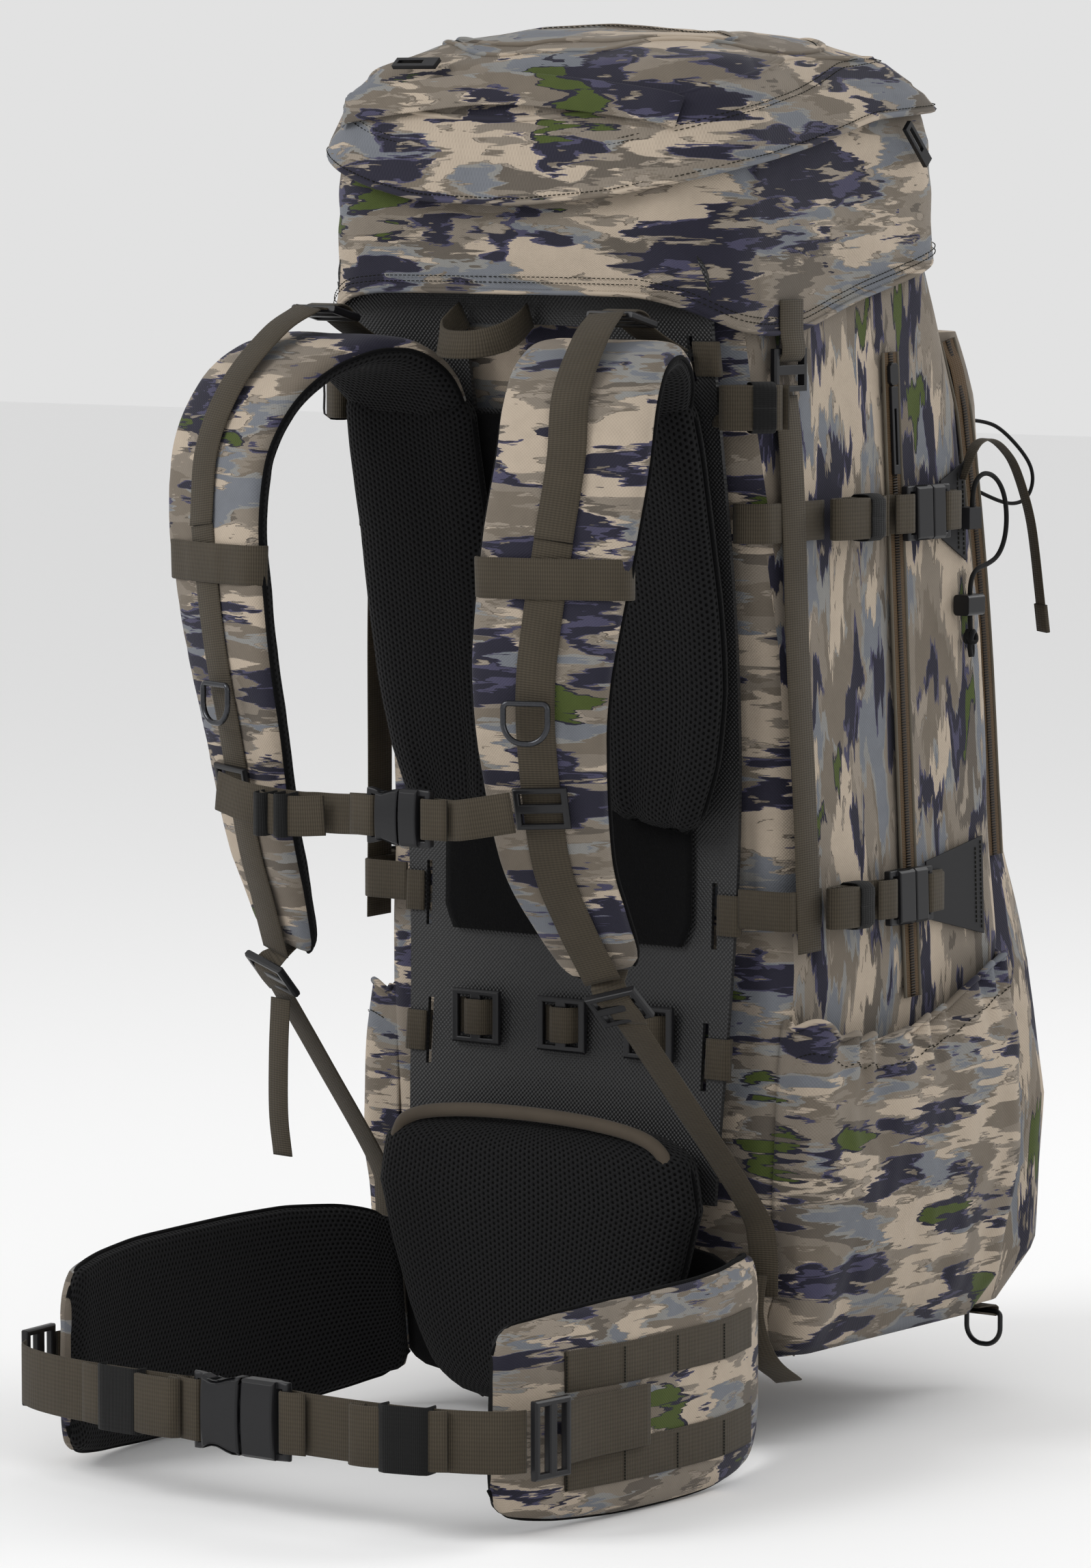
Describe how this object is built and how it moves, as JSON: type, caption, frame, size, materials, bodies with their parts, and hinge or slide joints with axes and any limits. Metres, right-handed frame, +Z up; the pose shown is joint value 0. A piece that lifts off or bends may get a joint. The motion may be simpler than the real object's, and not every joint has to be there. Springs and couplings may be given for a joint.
{
  "type": "hunting backpack",
  "caption": "Camouflage frame backpack with lid, shoulder harness, sternum strap, padded hip belt, side pockets and compression straps.",
  "frame": {"origin": "on the bag's flat base, in its left-right middle plane, 126 mm forward (+Y) of the base's edge on the harness side", "axes": "+Z up, -Y towards the wearer, and +X to the right of someone who faces the harness, which is the wearer's left; right and left in the names of nodes, bodies and joints are that viewer's"},
  "size_m": [0.4116, 0.6911, 0.8955],
  "materials": {
    "camo_fabric": "matte printed nylon pack cloth",
    "mesh_fabric": "black spacer mesh",
    "webbing": "ribbed nylon webbing",
    "black_plastic": "moulded acetal, satin",
    "frame_polymer": "fine woven grain",
    "aluminium": "satin bar",
    "hook_loop": "brushed loop pile",
    "zip": "brown coil zip and tape",
    "cord": "braided sheath",
    "patch": "rubberised laminate",
    "ring": "gloss black"
  },
  "bodies": {
    "pack": {"back_pads": "mesh_fabric", "bag_body": "camo_fabric", "belt_yoke": "camo_fabric", "bungee_cord": "cord", "bungee_knot": "cord", "cord_lock": "black_plastic", "compression_males": "black_plastic", "compression_patches": "patch", "compression_straps": "webbing", "frame_sheet": "frame_polymer", "frame_stays": "aluminium", "frame_webbing": "webbing", "front_pocket": "camo_fabric", "haul_loop": "webbing", "load_lifter_straps": "webbing", "loop_cord": "cord", "loop_panel": "hook_loop", "lumbar_pad": "mesh_fabric", "shoulder_pad_left": "camo_fabric", "shoulder_pad_right": "camo_fabric", "shoulder_webbing": "webbing", "side_pocket_left": "camo_fabric", "side_pocket_right": "camo_fabric", "side_straps": "webbing", "strap_adjusters": "black_plastic", "tail_webbing": "webbing", "tri_glides": "black_plastic", "zip_tracks": "zip"},
    "lid": {"lid_pouch": "camo_fabric", "lid_zip": "zip", "lid_locks": "black_plastic", "lid_tabs": "webbing"},
    "lid_pull_left": {"lid_pull_left": "black_plastic"},
    "lid_pull_right": {"lid_pull_right": "black_plastic"},
    "belt_right": {"wing_right": "camo_fabric", "belt_lock_right": "black_plastic", "belt_webbing_right": "webbing", "hip_male": "black_plastic"},
    "belt_left": {"wing_left": "camo_fabric", "belt_lock_left": "black_plastic", "belt_webbing_left": "webbing", "hip_socket": "black_plastic"},
    "hip_lever_upper": {"hip_lever_upper": "black_plastic"},
    "hip_lever_lower": {"hip_lever_lower": "black_plastic"},
    "sternum_strap": {"sternum_sliders": "black_plastic", "sternum_webbing": "webbing", "sternum_male": "black_plastic"},
    "sternum_socket": {"sternum_socket": "black_plastic"},
    "sternum_lever_upper": {"sternum_lever_upper": "black_plastic"},
    "sternum_lever_lower": {"sternum_lever_lower": "black_plastic"},
    "d_ring_right": {"d_ring_right": "ring"},
    "d_ring_left": {"d_ring_left": "ring"},
    "side_zip_right": {"side_zip_slider_right": "black_plastic"},
    "side_zip_left": {"side_zip_slider_left": "black_plastic"},
    "upper_socket_right": {"upper_socket_right": "black_plastic"},
    "upper_socket_left": {"upper_socket_left": "black_plastic"},
    "lower_socket_right": {"lower_socket_right": "black_plastic"},
    "lower_socket_left": {"lower_socket_left": "black_plastic"},
    "base_rings_rear": {"base_rings_rear": "ring"},
    "base_rings_front": {"base_rings_front": "ring"}
  },
  "joints": [
    {"name": "lid_hinge", "type": "hinge", "parent": "pack", "child": "lid", "pos_m": [0, -0.208, 0.654], "axis": [1, 0, 0], "range_deg": [0, 55]},
    {"name": "lid_pull_left_lift", "type": "hinge", "parent": "lid", "child": "lid_pull_left", "pos_m": [-0.093, -0.2, 0.819], "axis": [0, -0.7659, -0.6429], "range_deg": [0, 60]},
    {"name": "lid_pull_right_lift", "type": "hinge", "parent": "lid", "child": "lid_pull_right", "pos_m": [0.166, -0.004, 0.78], "axis": [0, -0.7071, -0.7071], "range_deg": [0, 60]},
    {"name": "belt_right_swing", "type": "hinge", "parent": "pack", "child": "belt_right", "pos_m": [0.141, -0.153, 0.018], "axis": [0, 0, 1], "range_deg": [0, 35]},
    {"name": "belt_left_swing", "type": "hinge", "parent": "pack", "child": "belt_left", "pos_m": [-0.141, -0.153, 0.018], "axis": [0, 0, 1], "range_deg": [-35, 0]},
    {"name": "hip_lever_upper_squeeze", "type": "hinge", "parent": "belt_right", "child": "hip_lever_upper", "pos_m": [0.0123, -0.482, 0.0179], "axis": [0, -1, 0], "range_deg": [0, 7], "stiffness_Nm_per_rad": 0.6},
    {"name": "hip_lever_lower_squeeze", "type": "hinge", "parent": "belt_right", "child": "hip_lever_lower", "pos_m": [0.0123, -0.482, -0.0099], "axis": [0, 1, 0], "range_deg": [0, 7], "stiffness_Nm_per_rad": 0.6},
    {"name": "sternum_height", "type": "slide", "parent": "pack", "child": "sternum_strap", "axis": [0, -0.2207, 0.9753], "range_m": [-0.018, 0.02]},
    {"name": "sternum_release", "type": "slide", "parent": "sternum_strap", "child": "sternum_socket", "axis": [-1, 0, 0], "range_m": [0, 0.017]},
    {"name": "sternum_lever_upper_squeeze", "type": "hinge", "parent": "sternum_strap", "child": "sternum_lever_upper", "pos_m": [0.0423, -0.366, 0.3674], "axis": [0, -1, 0], "range_deg": [0, 7], "stiffness_Nm_per_rad": 0.1},
    {"name": "sternum_lever_lower_squeeze", "type": "hinge", "parent": "sternum_strap", "child": "sternum_lever_lower", "pos_m": [0.0423, -0.366, 0.3526], "axis": [0, 1, 0], "range_deg": [0, 7], "stiffness_Nm_per_rad": 0.1},
    {"name": "d_ring_right_swing", "type": "hinge", "parent": "pack", "child": "d_ring_right", "pos_m": [0.1216, -0.3466, 0.432], "axis": [-0.9511, -0.309, 0], "range_deg": [0, 90]},
    {"name": "d_ring_left_swing", "type": "hinge", "parent": "pack", "child": "d_ring_left", "pos_m": [-0.1216, -0.3466, 0.432], "axis": [-0.9511, 0.309, 0], "range_deg": [0, 90]},
    {"name": "side_zip_right_slide", "type": "slide", "parent": "pack", "child": "side_zip_right", "axis": [0.0311, 0.026, -0.9992], "range_m": [0, 0.3]},
    {"name": "side_zip_left_slide", "type": "slide", "parent": "pack", "child": "side_zip_left", "axis": [-0.0311, 0.026, -0.9992], "range_m": [0, 0.3]},
    {"name": "upper_socket_right_release", "type": "slide", "parent": "pack", "child": "upper_socket_right", "axis": [0, -1, 0], "range_m": [0, 0.017]},
    {"name": "upper_socket_left_release", "type": "slide", "parent": "pack", "child": "upper_socket_left", "axis": [0, -1, 0], "range_m": [0, 0.017]},
    {"name": "lower_socket_right_release", "type": "slide", "parent": "pack", "child": "lower_socket_right", "axis": [0, -1, 0], "range_m": [0, 0.017]},
    {"name": "lower_socket_left_release", "type": "slide", "parent": "pack", "child": "lower_socket_left", "axis": [0, -1, 0], "range_m": [0, 0.017]},
    {"name": "base_rings_rear_swing", "type": "hinge", "parent": "pack", "child": "base_rings_rear", "pos_m": [0, -0.126, -0.0066], "axis": [1, 0, 0], "range_deg": [-10, 75]},
    {"name": "base_rings_front_swing", "type": "hinge", "parent": "pack", "child": "base_rings_front", "pos_m": [0, 0.151, -0.0075], "axis": [1, 0, 0], "range_deg": [-75, 75]}
  ],
  "couplings": [
    {"joint": "belt_left_swing", "follows": "belt_right_swing", "ratio": -1},
    {"joint": "hip_lever_lower_squeeze", "follows": "hip_lever_upper_squeeze", "ratio": 1},
    {"joint": "sternum_lever_lower_squeeze", "follows": "sternum_lever_upper_squeeze", "ratio": 1}
  ]
}
